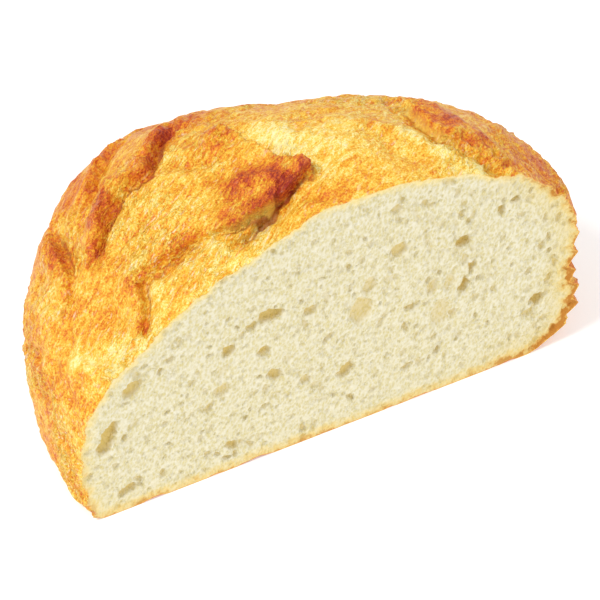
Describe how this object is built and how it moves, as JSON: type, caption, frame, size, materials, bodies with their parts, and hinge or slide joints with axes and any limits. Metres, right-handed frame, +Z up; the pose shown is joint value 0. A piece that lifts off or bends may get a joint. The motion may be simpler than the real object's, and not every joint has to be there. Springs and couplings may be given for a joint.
{
  "type": "bread loaf, cut across",
  "caption": "Round crusty white loaf sliced straight across near the middle, resting on its flat base, with a folded baked ear and open crumb.",
  "frame": {"origin": "centre of the bounding box in X and Y, on the plane the loaf rests on", "axes": "+Z up, +X along the cut, the cut face looks towards -Y and the crust dome is behind it"},
  "size_m": [0.2014, 0.1244, 0.1126],
  "materials": {
    "bread": null
  },
  "bodies": {
    "root": {"loaf": "bread"}
  },
  "joints": []
}
